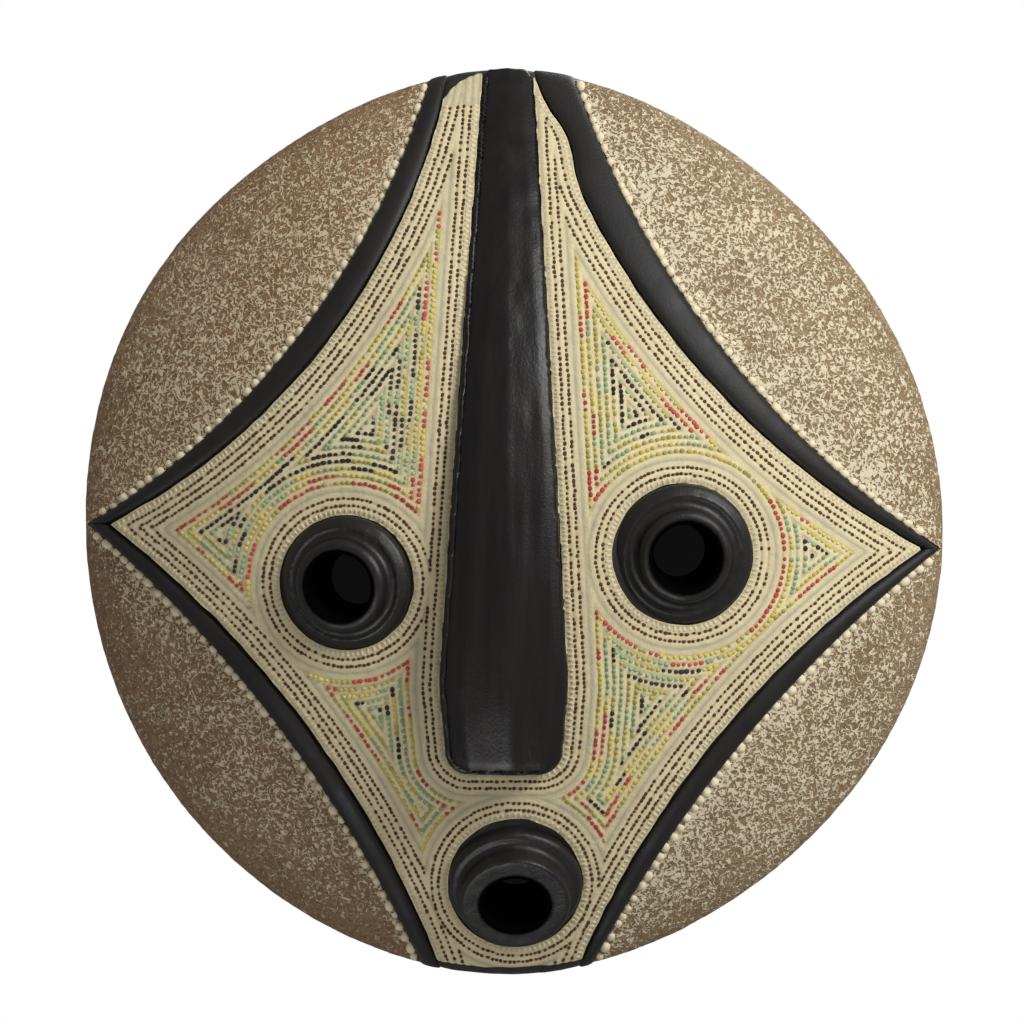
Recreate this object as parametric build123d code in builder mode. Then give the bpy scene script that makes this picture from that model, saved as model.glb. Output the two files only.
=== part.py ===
"""A round, domed, carved wooden wall mask with a painted face.

+Z is up, the face looks along -Y, and the back rim lies on the plane Y = 0.
The origin is the middle of that rim. Sizes are millimetres.

The mask is a hollowed shell of light wood. A four-pointed panel is left proud
of the dome and carries a thin ground of chalk paint. Black borders edge the
panel, a nose bar is pegged down its middle, and three turned tubes, two eyes
and a mouth, stand in holes bored through the shell. Rows of raised dots follow
the borders, and the four corner fields have a rough crust. The back has a wood
land at the top with a strap, a screw and a swinging ring to hang the mask by.
"""

import os
from math import cos, hypot, pi, sin, sqrt

from build123d import *

os.makedirs("parts", exist_ok=True)

# --- overall sizes -----------------------------------------------------------
half_width = 162.5
half_height = 172.0
dome_height = 69.5  # corner field at the middle, above the back rim
rim_edge_height = 8.0  # side wall where the rim is furthest from the middle
# The hand-cut rim against a true ellipse, every 30 degrees from +X towards +Z.
rim_trim = (1.0, 0.973, 0.962, 1.0, 0.986, 1.002, 1.0, 0.997, 0.994, 1.0, 0.978, 0.992)

# --- shell -------------------------------------------------------------------
wall = 11.0
rim_width = 13.0
panel_raise = 2.5
ground_thickness = 0.8
ground_margin = 3.5  # bare black edge between the ground and the rim
border_thickness = 3.8
crust_thickness = 0.8
crust_margin = 0.5
layer_gap = 0.1  # between a painted layer and what stands beside it

# --- four-pointed panel: x of each border's end at the rim, and its bow -------
overrun = 2.0  # how far the border outlines run past the rim before it cuts them
left_tip_inset = 10.0
left_tip_height = -0.7
right_tip_inset = 8.5
right_tip_height = -10.0
black_tip_inset = 1.5
# border: (inner end x, inner bow, outer end x, outer bow)
border_ends = {
    "upper_left": (-24.5, 27.5, -31.0, 23.6),
    "upper_right": (6.5, 26.0, 21.5, 22.4),
    "lower_left": (-26.4, 17.3, -33.0, 14.6),
    "lower_right": (22.5, 17.8, 27.0, 13.8),
}

# --- raised dots along the borders -------------------------------------------
bead_radius = 1.75
bead_pitch = 4.5
bead_gap = 0.2
bead_rim_clearance = 7.0

# --- nose --------------------------------------------------------------------
nose_foot = -92.0
nose_widest = -60.0
nose_top_x = (-11.4, 6.8)
nose_widest_x = (-27.3, 19.5)
nose_foot_x = (-24.5, 17.0)
nose_corner = 8.5
nose_crest_x = -2.5
nose_top_rise = 3.0  # above the ground, at the rim
nose_middle_rise = 11.0
nose_foot_rise = 23.0
nose_roof_angle = 8.0
peg_radius = 3.0
peg_into_nose = 5.0
peg_into_shell = 7.0
peg_fit = 0.05
peg_heights = (-62.0, 30.0)

# --- turned tubes ------------------------------------------------------------
bore_radius = 12.0
bore_throat_radius = 10.0
bore_throat_depth = 7.0  # below the face, where the bore narrows
spigot_radius = 16.0
spigot_fit = 0.1
seat_depth = 4.0  # head metal left under the face before it is trimmed to the dome
left_eye_place = (-61.4, -22.0)
left_eye_lean = (-3.0, 4.0)  # degrees from the dome's own normal, about Z and X
left_eye_radius = 24.4
right_eye_place = (61.9, -11.6)
right_eye_lean = (-8.0, 5.0)
right_eye_radius = 25.6
eye_height = 10.0
eye_step_height = 4.5
eye_step_share = 0.86  # of the base radius, where the outer step has its edge
eye_rim_radius = 16.0
mouth_place = (0.4, -135.1)
mouth_lean = (0.0, 3.0)
mouth_radius = 25.0
mouth_height = 13.0
mouth_step_height = 3.5
mouth_barrel_radius = 20.4
mouth_edge_round = 1.2

# --- hanger ------------------------------------------------------------------
land_depth = 4.6  # below the rim plane
land_half_width = 17.0
land_foot = 120.0
ring_wire_radius = 1.0
ring_pivot_height = 139.0
ring_half_width = 9.0  # to the wire's centre
ring_drop = 14.0
strap_width = 9.0
strap_thickness = 1.0
strap_length = 10.0
pivot_fit = 0.08
screw_hole_drop = 5.2  # below the pivot
screw_shank_radius = 1.5
screw_head_radius = 2.9
screw_head_height = 1.5
screw_length = 9.0
screw_fit = 0.05

# --- worked-out sizes --------------------------------------------------------
furthest = max(half_width, half_height)
dome_rise = dome_height - rim_edge_height
dome_radius = (furthest**2 + dome_rise**2) / (2 * dome_rise)
dome_centre = (0, dome_radius - dome_height, 0)
panel_radius = dome_radius + panel_raise
ground_radius = panel_radius + ground_thickness
cavity_radius = dome_radius - wall
block_depth = 2 * dome_height + nose_foot_rise  # deeper than anything on the face
FRONT = Plane.XZ  # sketches lie on the rim plane and extrude towards the face

left_tip = (-(half_width - left_tip_inset), left_tip_height)
right_tip = (half_width - right_tip_inset, right_tip_height)
left_black_tip = (-(half_width - black_tip_inset), left_tip_height)
right_black_tip = (half_width - black_tip_inset, right_tip_height)
rim_run = half_height + overrun


def depth_at(x, z, radius):
    """Y of the sphere of this radius, concentric with the dome, at (x, z)."""
    return dome_centre[1] - sqrt(radius**2 - x**2 - z**2)


def border_curve(name, edge):
    """The inner or outer edge of a border, as end, end and bow, from rim to tip."""
    inner_x, inner_bow, outer_x, outer_bow = border_ends[name]
    side = -1 if name.endswith("left") else 1
    level = rim_run if name.startswith("upper") else -rim_run
    if edge == "inner":
        tip = left_tip if side < 0 else right_tip
        return (inner_x, level), tip, inner_bow
    tip = left_black_tip if side < 0 else right_black_tip
    return (outer_x, level), tip, outer_bow


def border_arc(name, edge):
    """A border edge as an arc that bows towards the middle of the face."""
    start, end, bow = border_curve(name, edge)
    turn = 1 if name in ("upper_left", "lower_right") else -1
    return SagittaArc(start, end, turn * bow)


def layer(outline, inner, outer):
    """A skin of one sketch, between two spheres that share the dome's centre."""
    with BuildPart() as skin:
        extrude(outline, amount=block_depth)
        with Locations(dome_centre):
            Sphere(outer, mode=Mode.INTERSECT)
            Sphere(inner, mode=Mode.SUBTRACT)
    return skin.part


def star(edge):
    """The four-pointed outline inside the borders' inner or outer edges."""
    with BuildSketch(FRONT) as shape:
        with BuildLine():
            left = border_arc("upper_left", edge)
            border_arc("lower_left", edge)
            right = border_arc("lower_right", edge)
            border_arc("upper_right", edge)
            names = ("lower_left", "lower_right", "upper_left", "upper_right")
            foot_left, foot_right, top_left, top_right = (border_curve(n, edge)[0] for n in names)
            Line(foot_left, foot_right)
            Line(top_left, top_right)
        make_face()
    return shape.sketch


def save(piece, name):
    """Label one finished piece and write its own file."""
    piece.label = name
    export_step(piece, f"parts/{name}.step")


# --- outlines on the rim plane -----------------------------------------------


def rim_shape(inset):
    """The hand-cut round of the rim, drawn in by this much all the way round."""
    points = []
    for step, trim in enumerate(rim_trim):
        angle = 2 * pi * step / len(rim_trim)
        across = half_width * trim * cos(angle)
        up = half_height * trim * sin(angle)
        kept = 1 - inset / hypot(across, up)
        points.append((across * kept, up * kept))
    with BuildSketch(FRONT) as shape:
        with BuildLine():
            Spline(*points, periodic=True)
        make_face()
    return shape.sketch


rim_outline = rim_shape(0)

with BuildSketch(FRONT) as panel_outline:
    add(star("inner"))
    add(rim_outline, mode=Mode.INTERSECT)

with BuildSketch(FRONT) as nose_outline:
    with BuildLine():
        Polyline(
            (nose_top_x[0], rim_run),
            (nose_widest_x[0], nose_widest),
            (nose_foot_x[0], nose_foot),
            (nose_foot_x[1], nose_foot),
            (nose_widest_x[1], nose_widest),
            (nose_top_x[1], rim_run),
            close=True,
        )
    make_face()
    fillet(nose_outline.vertices().group_by(Axis.Z)[0], radius=nose_corner)

# --- seats of the turned tubes -----------------------------------------------


def tube_seat(place, lean):
    """A plane on the panel whose normal is the tube's axis."""
    x, z = place
    point = Vector(x, depth_at(x, z, panel_radius), z)
    outward = (point - Vector(*dome_centre)).normalized()
    outward = outward.rotate(Axis.Z, lean[0]).rotate(Axis.X, lean[1])
    return Plane(origin=point, x_dir=(0, 0, 1), z_dir=outward)


left_eye_seat = tube_seat(left_eye_place, left_eye_lean)
right_eye_seat = tube_seat(right_eye_place, right_eye_lean)
mouth_seat = tube_seat(mouth_place, mouth_lean)
seats = (left_eye_seat, right_eye_seat, mouth_seat)


def section(seat):
    """The half plane a tube's profile is drawn on: radius, then height."""
    return Plane(origin=seat.origin, x_dir=seat.x_dir, z_dir=-seat.y_dir)


def spigot(seat, radius):
    """The round tenon of a tube, or the hole it fills when it is a little larger."""
    with BuildPart() as tenon:
        with BuildSketch(seat.offset(-2 * wall)):
            Circle(radius)
        extrude(amount=2 * wall + seat_depth)
    return tenon.part


def bore(seat):
    """The way through a tube, wide at the front and narrower at the back."""
    with BuildPart() as way:
        with BuildSketch(section(seat)):
            with BuildLine():
                Polyline(
                    (0, mouth_height + seat_depth),
                    (bore_radius, mouth_height + seat_depth),
                    (bore_radius, 0),
                    (bore_throat_radius, -bore_throat_depth),
                    (bore_throat_radius, -3 * wall),
                    (0, -3 * wall),
                    close=True,
                )
            make_face()
        revolve(axis=Axis(seat.origin, seat.z_dir))
    return way.part


def eye_head(seat, radius):
    """The stepped head of an eye tube, down into the shell."""
    step = eye_step_share * radius
    with BuildPart() as head:
        with BuildSketch(section(seat)):
            with BuildLine():
                Line((0, -seat_depth), (radius, -seat_depth))
                Line((radius, -seat_depth), (radius, 1.5))
                Line((radius, 1.5), (radius - 0.8, 2.4))
                Line((radius - 0.8, 2.4), (step, eye_step_height))
                cove = ((step + eye_rim_radius) / 2, eye_step_height - 0.4)
                ThreePointArc((step, eye_step_height), cove, (eye_rim_radius + 1.2, eye_height - 3.6))
                crown = ((eye_rim_radius + bore_radius) / 2 + 0.8, eye_height)
                ThreePointArc(
                    (eye_rim_radius + 1.2, eye_height - 3.6),
                    crown,
                    (bore_radius - 0.5, eye_height - 1.6),
                )
                Line((bore_radius - 0.5, eye_height - 1.6), (0, eye_height - 1.6))
                Line((0, eye_height - 1.6), (0, -seat_depth))
            make_face()
        revolve(axis=Axis(seat.origin, seat.z_dir))
    return head.part


def mouth_head(seat):
    """The stepped head of the mouth tube, with a flat front."""
    round_in = mouth_barrel_radius - mouth_edge_round
    with BuildPart() as head:
        with BuildSketch(section(seat)):
            with BuildLine():
                Line((0, -seat_depth), (mouth_radius, -seat_depth))
                Line((mouth_radius, -seat_depth), (mouth_radius, mouth_step_height - 1.5))
                Line((mouth_radius, mouth_step_height - 1.5), (mouth_radius - 1.5, mouth_step_height))
                throat = (mouth_barrel_radius + 0.7, mouth_step_height + 0.6)
                ThreePointArc(
                    (mouth_radius - 1.5, mouth_step_height),
                    throat,
                    (mouth_barrel_radius, mouth_step_height + 3.5),
                )
                barrel_top = (mouth_barrel_radius, mouth_height - mouth_edge_round)
                Line((mouth_barrel_radius, mouth_step_height + 3.5), barrel_top)
                TangentArc(barrel_top, (round_in, mouth_height), tangent=(0, 1))
                Line((round_in, mouth_height), (0, mouth_height))
                Line((0, mouth_height), (0, -seat_depth))
            make_face()
        revolve(axis=Axis(seat.origin, seat.z_dir))
    return head.part


def tube(seat, head):
    """A tube: its head seated on the panel, its spigot through the wall, and its bore."""
    with BuildPart() as turned:
        add(head)
        with Locations(dome_centre):
            Sphere(panel_radius, mode=Mode.SUBTRACT)
        add(spigot(seat, spigot_radius))
        with Locations(dome_centre):
            Sphere(cavity_radius, mode=Mode.SUBTRACT)
        add(bore(seat), mode=Mode.SUBTRACT)
    return turned.part


# --- nose --------------------------------------------------------------------
nose_arc_points = (
    (half_height, nose_top_rise),
    (0.0, nose_middle_rise),
    (nose_foot, nose_foot_rise),
)
crest = [(depth_at(0, z, ground_radius) - rise, z) for z, rise in nose_arc_points]


def nose_plane(turn):
    """Everything behind one of the two planes that meet along the nose's crest."""
    hinge = Axis((nose_crest_x, crest[1][0], 0), (0, 0, 1))
    with BuildPart() as half:
        with BuildSketch(Plane.YZ.offset(-half_width)):
            with BuildLine():
                front = ThreePointArc(*crest)
                Polyline(front @ 1, (0, nose_foot), (0, half_height), front @ 0)
            make_face()
            offset(amount=overrun, kind=Kind.INTERSECTION)
        extrude(amount=2 * half_width)
    return half.part.translate((0, overrun, 0)).rotate(hinge, turn)


def peg(height, radius, clearance):
    """A dowel across the joint between the nose and the shell."""
    middle = depth_at(nose_crest_x, height, panel_radius)
    start = Plane(origin=(nose_crest_x, middle + peg_into_shell + clearance, height), z_dir=(0, -1, 0))
    with BuildPart() as dowel:
        with BuildSketch(start):
            Circle(radius)
        extrude(amount=peg_into_shell + peg_into_nose + 2 * clearance)
    return dowel.part


with BuildPart() as nose_ridge:
    extrude(nose_outline.sketch, amount=block_depth)
    for turn in (-nose_roof_angle, nose_roof_angle):
        add(nose_plane(turn), mode=Mode.INTERSECT)
    extrude(rim_outline, amount=block_depth, mode=Mode.INTERSECT)
    with Locations(dome_centre):
        Sphere(panel_radius, mode=Mode.SUBTRACT)
    for height in peg_heights:
        add(peg(height, peg_radius + peg_fit, peg_fit), mode=Mode.SUBTRACT)
save(nose_ridge.part, "nose_ridge")

with BuildPart() as nose_pegs:
    for height in peg_heights:
        add(peg(height, peg_radius, 0))
save(nose_pegs.part, "nose_pegs")

# --- tubes -------------------------------------------------------------------
left_eye = tube(left_eye_seat, eye_head(left_eye_seat, left_eye_radius))
right_eye = tube(right_eye_seat, eye_head(right_eye_seat, right_eye_radius))
mouth = tube(mouth_seat, mouth_head(mouth_seat))
save(left_eye, "left_eye_tube")
save(right_eye, "right_eye_tube")
save(mouth, "mouth_tube")

# --- shell -------------------------------------------------------------------
with BuildPart() as hollow:
    extrude(rim_shape(rim_width), amount=block_depth)
    with Locations(dome_centre):
        Sphere(cavity_radius, mode=Mode.INTERSECT)
    land_top = half_height + overrun
    with BuildSketch(Plane.XZ.offset(land_depth)):
        with Locations((0, (land_foot + land_top) / 2)):
            Rectangle(2 * land_half_width, land_top - land_foot)
    extrude(amount=block_depth, mode=Mode.SUBTRACT)

with BuildPart() as mask_shell:
    extrude(rim_outline, amount=block_depth)
    with Locations(dome_centre):
        Sphere(dome_radius, mode=Mode.INTERSECT)
    add(layer(panel_outline.sketch, dome_radius - wall / 2, panel_radius))
    add(hollow.part, mode=Mode.SUBTRACT)
    for seat in seats:
        add(spigot(seat, spigot_radius + spigot_fit), mode=Mode.SUBTRACT)
    for height in peg_heights:
        add(peg(height, peg_radius + peg_fit, peg_fit), mode=Mode.SUBTRACT)
    screw_height = ring_pivot_height - screw_hole_drop
    with BuildSketch(Plane.XZ.offset(land_depth)):
        with Locations((0, screw_height)):
            Circle(screw_shank_radius + screw_fit)
    extrude(amount=screw_length, mode=Mode.SUBTRACT)
save(mask_shell.part, "mask_shell")

# --- ground, borders, corner crusts ------------------------------------------
with BuildSketch(FRONT) as ground_outline:
    add(rim_shape(ground_margin))
    add(star("inner"), mode=Mode.INTERSECT)

with BuildPart() as nose_clearance:
    extrude(nose_outline.sketch, amount=block_depth)
    offset(amount=layer_gap)

tube_radii = (left_eye_radius, right_eye_radius, mouth_radius)
with BuildPart() as face_ground:
    add(layer(ground_outline.sketch, panel_radius, ground_radius))
    add(nose_clearance.part, mode=Mode.SUBTRACT)
    for seat, radius in zip(seats, tube_radii):
        with BuildSketch(seat.offset(-seat_depth)):
            Circle(radius + layer_gap)
        extrude(amount=2 * seat_depth, mode=Mode.SUBTRACT)
save(face_ground.part, "face_ground")


def quadrant(name):
    """The quarter of the front that a border and a corner field lie in."""
    left = name.endswith("left")
    upper = name.startswith("upper")
    tip_level = left_tip_height if left else right_tip_height
    reach = 2 * furthest
    with BuildSketch(FRONT) as quarter:
        with Locations((-reach / 2 if left else reach / 2, tip_level + (reach / 2 if upper else -reach / 2))):
            Rectangle(reach, reach)
    return quarter.sketch


star_inner = star("inner")
star_outer = star("outer")

for corner in border_ends:
    with BuildSketch(FRONT) as border_outline:
        add(star_outer)
        add(star_inner, mode=Mode.SUBTRACT)
        add(quadrant(corner), mode=Mode.INTERSECT)
        add(rim_outline, mode=Mode.INTERSECT)
    save(layer(border_outline.sketch, dome_radius, dome_radius + border_thickness), f"border_{corner}")

    with BuildSketch(FRONT) as field_outline:
        add(rim_shape(crust_margin))
        add(star_outer, mode=Mode.SUBTRACT)
        add(quadrant(corner), mode=Mode.INTERSECT)
    save(layer(field_outline.sketch, dome_radius, dome_radius + crust_thickness), f"corner_{corner}")

    start, end, bow = border_curve(corner, "outer")
    turn = 1 if corner in ("upper_left", "lower_right") else -1
    with BuildLine(FRONT) as outer_edge:
        SagittaArc(start, end, turn * bow)
    edge = outer_edge.edges()[0]
    first = bead_rim_clearance / edge.length
    count = int((edge.length - 2 * bead_rim_clearance) / bead_pitch)
    with BuildPart() as bead_row:
        for number in range(count + 1):
            share = first + number * bead_pitch / edge.length
            on_edge = edge.position_at(share)
            to_centre = (edge.arc_center - on_edge).normalized()
            spot = on_edge + to_centre * (bead_radius + bead_gap)
            y = depth_at(spot.X, spot.Z, dome_radius + crust_thickness)
            with Locations((spot.X, y, spot.Z)):
                Sphere(bead_radius)
        with Locations(dome_centre):
            Sphere(dome_radius + crust_thickness, mode=Mode.SUBTRACT)
    save(bead_row.part, f"bead_row_{corner}")

# --- hanger ------------------------------------------------------------------
loop_inner = ring_wire_radius + pivot_fit
loop_outer = loop_inner + strap_thickness
pivot_y = -land_depth + strap_thickness + loop_inner
strap_plane = Plane.YZ.offset(-strap_width / 2)
with BuildPart() as hanger_strap:
    with BuildSketch(strap_plane):
        with Locations((pivot_y, ring_pivot_height)):
            Circle(loop_outer)
        with Locations((-land_depth + strap_thickness / 2, ring_pivot_height - strap_length / 2)):
            Rectangle(strap_thickness, strap_length)
        with Locations((pivot_y, ring_pivot_height)):
            Circle(loop_inner, mode=Mode.SUBTRACT)
    extrude(amount=strap_width)
    with BuildSketch(Plane.XZ.offset(land_depth)):
        with Locations((0, screw_height)):
            Circle(screw_shank_radius + screw_fit)
    extrude(amount=-2 * strap_thickness, mode=Mode.SUBTRACT)
save(hanger_strap.part, "hanger_strap")

with BuildPart() as hanger_screw:
    head_face = -land_depth + strap_thickness
    with BuildSketch(Plane.XZ.offset(-head_face)):
        with Locations((0, screw_height)):
            Circle(screw_shank_radius)
    extrude(amount=screw_length + strap_thickness - screw_fit)
    with BuildSketch(Plane.XZ.offset(-head_face)):
        with Locations((0, screw_height)):
            Circle(screw_head_radius)
    extrude(amount=-screw_head_height)
    fillet(hanger_screw.edges().group_by(Axis.Y)[-1], radius=screw_head_height / 2)
save(hanger_screw.part, "hanger_screw")

with BuildPart() as hanger_ring:
    with BuildLine(Plane.XZ.offset(-pivot_y)):
        bar = Line((-ring_half_width, ring_pivot_height), (ring_half_width, ring_pivot_height))
        bow_start = ring_pivot_height - ring_drop + ring_half_width
        side = Line(bar @ 1, (ring_half_width, bow_start))
        bend = ThreePointArc(
            side @ 1,
            (0, ring_pivot_height - ring_drop),
            (-ring_half_width, bow_start),
        )
        Line(bend @ 1, bar @ 0)
    with BuildSketch(Plane(origin=bar @ 0.5, z_dir=bar % 0.5)):
        Circle(ring_wire_radius)
    sweep(transition=Transition.ROUND)
save(hanger_ring.part, "hanger_ring")
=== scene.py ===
# %% [markdown]
# # A painted wooden wall mask
# The frame comes first: it holds every piece of the mask at its true size and place.
# All that follows is made around it, so nothing has to be fitted afterwards.

# %% Load the frame
from math import atan2, hypot, pi, radians

import bmesh
import bpy
import numpy as np
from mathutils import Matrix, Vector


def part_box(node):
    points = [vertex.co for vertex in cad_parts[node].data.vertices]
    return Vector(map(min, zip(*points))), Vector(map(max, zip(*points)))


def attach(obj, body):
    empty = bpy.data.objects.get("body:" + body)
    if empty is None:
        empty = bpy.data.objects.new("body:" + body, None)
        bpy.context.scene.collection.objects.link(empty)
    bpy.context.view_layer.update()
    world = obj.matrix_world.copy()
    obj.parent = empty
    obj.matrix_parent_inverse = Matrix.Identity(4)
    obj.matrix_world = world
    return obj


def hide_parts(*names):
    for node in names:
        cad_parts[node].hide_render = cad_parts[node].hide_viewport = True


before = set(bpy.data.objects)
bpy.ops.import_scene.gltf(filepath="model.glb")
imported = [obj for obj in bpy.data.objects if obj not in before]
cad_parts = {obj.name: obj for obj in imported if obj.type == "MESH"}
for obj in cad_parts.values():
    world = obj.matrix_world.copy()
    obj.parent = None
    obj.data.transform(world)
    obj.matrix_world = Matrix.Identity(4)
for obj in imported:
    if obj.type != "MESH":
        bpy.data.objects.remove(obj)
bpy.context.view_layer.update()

MM = 0.001

# %% [markdown]
# The mask is part of a ball. Knowing the ball's middle and radius, any point on the
# flat drawing of the face can be lifted on to the dome. The radius follows from the
# shell's box: how high the dome stands, and how far the rim is from the middle.

# %% The dome
shell_low, shell_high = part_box("mask_shell")
half_width = (shell_high[0] - shell_low[0]) / 2
half_height = 172.0 * MM
panel_raise = 2.5 * MM
rim_edge_height = 8.0 * MM
ground_thickness = 0.8 * MM
border_thickness = 3.8 * MM
crust_thickness = 0.8 * MM

dome_height = -shell_low[1] - panel_raise
dome_rise = dome_height - rim_edge_height
dome_radius = (half_height**2 + dome_rise**2) / (2 * dome_rise)
dome_middle = np.array([0.0, dome_radius - dome_height, 0.0])
panel_radius = dome_radius + panel_raise
ground_radius = panel_radius + ground_thickness
print("dome radius", round(dome_radius, 4), "height", round(dome_height, 4))


def lift(points, radius):
    """Flat (x, z) points carried forward on to the ball of this radius."""
    x, z = points[:, 0], points[:, 1]
    y = dome_middle[1] - np.sqrt(np.maximum(radius**2 - x**2 - z**2, 0))
    return np.stack([x, y, z], 1)


def outward(points):
    """The dome's own outward directions at these points."""
    away = points - dome_middle
    return away / np.linalg.norm(away, axis=1, keepdims=True)


# %% [markdown]
# Nothing cut and painted by hand is quite even. One small noise made from hashed
# whole numbers gives the waver of every edge and surface, and always the same waver.

# %% A steady noise


def waver(points, size, seed=0):
    """Smooth noise from -1 to 1 at these points, with lumps about this size."""
    spots = np.atleast_2d(points) / size + 1000.0
    if spots.shape[1] == 2:
        spots = np.column_stack([spots, np.full(len(spots), 0.5 + seed)])
    cell = np.floor(spots).astype(np.int64)
    part = spots - cell
    ease = part * part * (3 - 2 * part)
    total = np.zeros(len(spots))
    for corner in range(8):
        step = np.array([corner & 1, (corner >> 1) & 1, corner >> 2])
        key = (cell + step) @ np.array([73856093, 19349663, 83492791]) + seed * 2654435
        key = (key ^ (key >> 13)) * 1274126177 & 0xFFFFFFFF
        key = (key ^ (key >> 16)) * 2246822519 & 0xFFFFFFFF
        share = np.prod(np.where(step, ease, 1 - ease), axis=1)
        total += share * (key / 0x7FFFFFFF - 1.0)
    return total


print("waver at three spots:", waver(np.eye(3), 0.4).round(2))


# %% [markdown]
# ## Camera
# The camera stands square in front, far enough back for a flat, calm view. Its lens is
# worked out from the width that it should see at the wall, so the distance can change
# and the mask still fills the view.

# %% Camera
camera_distance = 1600 * MM
picture_width = 391.4 * MM  # seen at the wall
sensor_width = 36.0

camera = bpy.data.objects.new("camera", bpy.data.cameras.new("camera"))
bpy.context.scene.collection.objects.link(camera)
camera.location = (-0.8 * MM, -camera_distance, 3.8 * MM)
camera.rotation_euler = (radians(90), 0, 0)
camera.data.sensor_width = sensor_width
camera.data.lens = sensor_width * camera_distance / picture_width
bpy.context.scene.camera = camera
bpy.context.scene.view_settings.view_transform = "Standard"
print("lens", round(camera.data.lens, 1), "mm")

# %% [markdown]
# ## Light
# A large soft lamp high on the right models the dome, like a window. A wider, weaker one
# fills from below on the left, and a third behind lights the hollow. A sun lamp would be
# simpler, but its hard shadows would hide the dots.

# %% Lights


def soft_lamp(name, place, size, power):
    """A square lamp at this place, turned towards the mask."""
    lamp = bpy.data.lights.new(name, "AREA")
    lamp.size = size
    lamp.energy = power
    holder = bpy.data.objects.new(name, lamp)
    bpy.context.scene.collection.objects.link(holder)
    holder.location = place
    x, y, z = place
    holder.rotation_euler = (atan2(hypot(x, y), z), 0, atan2(x, -y))
    return holder


for lamp_settings in (
    ("key_lamp", (1.25, -1.15, 1.05), 0.7, 40),
    ("fill_lamp", (-0.4, -1.3, -1.3), 1.2, 33),
    ("back_lamp", (0.9, 1.6, 1.4), 1.2, 26),
):
    print(soft_lamp(*lamp_settings).name, "shines with", lamp_settings[-1], "watts")

# %% [markdown]
# The surround shows plain white to the camera, but gives much less light than it shows.
# A light path node tells the two apart: the camera's own rays see full white, and all
# other rays get the weak light that keeps the shadows open.

# %% White surround
world = bpy.data.worlds.new("white_room")
bpy.context.scene.world = world
world.use_nodes = True
sky = world.node_tree.nodes["Background"]
sky.inputs["Color"].default_value = (1, 1, 1, 1)
sky.inputs["Strength"].default_value = 0.39
seen = world.node_tree.nodes.new("ShaderNodeBackground")
seen.inputs["Color"].default_value = (1, 1, 1, 1)
choice = world.node_tree.nodes.new("ShaderNodeMixShader")
ray = world.node_tree.nodes.new("ShaderNodeLightPath")
world.node_tree.links.new(ray.outputs["Is Camera Ray"], choice.inputs[0])
world.node_tree.links.new(sky.outputs[0], choice.inputs[1])
world.node_tree.links.new(seen.outputs[0], choice.inputs[2])
world.node_tree.links.new(choice.outputs[0], world.node_tree.nodes["World Output"].inputs[0])
print("surround strength", round(sky.inputs["Strength"].default_value, 2))

# %% [markdown]
# ## Finishes
# Every finish is a small set of nodes. Typed out in full, they would bury the recipe, so
# helpers come first: one opens a material, one adds a node with its settings, and one
# gives the place on the piece, stretched where a finish has streaks or grain.

# %% Finish helpers


def open_finish(name, roughness, specular=0.5):
    """A new material with its surface shader, ready for colour and bump."""
    finish = bpy.data.materials.new(name)
    finish.use_nodes = True
    surface = finish.node_tree.nodes["Principled BSDF"]
    surface.inputs["Roughness"].default_value = roughness
    surface.inputs["Specular IOR Level"].default_value = specular
    return finish, surface


def add_node(finish, kind, links=(), **settings):
    """A node with its inputs set by name and its links made."""
    node = finish.node_tree.nodes.new("ShaderNode" + kind)
    for key, value in settings.items():
        if hasattr(node, key):
            setattr(node, key, value)
        else:
            node.inputs[key.replace("_", " ")].default_value = value
    for name, output in links:
        finish.node_tree.links.new(output, node.inputs[name])
    return node


def place_of(finish, stretch=(1, 1, 1)):
    """Object coordinates, stretched for streaks or grain."""
    coordinates = add_node(finish, "TexCoord")
    mapping = add_node(finish, "Mapping", [("Vector", coordinates.outputs["Object"])])
    mapping.inputs["Scale"].default_value = stretch
    return mapping.outputs[0]


print("ready: open_finish, add_node, place_of")

# %% [markdown]
# Paint is never one flat colour. The next helpers make an uneven mask from noise, mix
# two colours by a mask, let it lead the roughness, and raise it as fine relief. The last
# one reads a number that was stored in the mesh.

# %% Helpers for uneven paint


def speckle(finish, place, scale, detail=4.0, roughness=0.6, low=0.35, high=0.65):
    """A noise squeezed to run from 0 to 1 between two levels."""
    noise = add_node(finish, "TexNoise", [("Vector", place)], Scale=scale, Detail=detail, Roughness=roughness)
    band = add_node(finish, "MapRange", [("Value", noise.outputs["Fac"])])
    band.inputs["From Min"].default_value = low
    band.inputs["From Max"].default_value = high
    return band.outputs[0]


def blend_colour(finish, mask, first, second, amount=1.0):
    """The first colour where the mask is 0 and the second where it is 1."""
    mix = add_node(finish, "Mix", data_type="RGBA")
    scaled = add_node(finish, "Math", [(0, mask)], operation="MULTIPLY")
    scaled.inputs[1].default_value = amount
    finish.node_tree.links.new(scaled.outputs[0], mix.inputs["Factor"])
    for socket, colour in ((6, first), (7, second)):
        if isinstance(colour, tuple):
            mix.inputs[socket].default_value = (*colour, 1)
        else:
            finish.node_tree.links.new(colour, mix.inputs[socket])
    return mix.outputs[2]


def vary_roughness(finish, surface, mask, low, high):
    """Roughness between two values, led by a mask."""
    band = add_node(finish, "MapRange", [("Value", mask)])
    band.inputs["To Min"].default_value = low
    band.inputs["To Max"].default_value = high
    finish.node_tree.links.new(band.outputs[0], surface.inputs["Roughness"])


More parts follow.
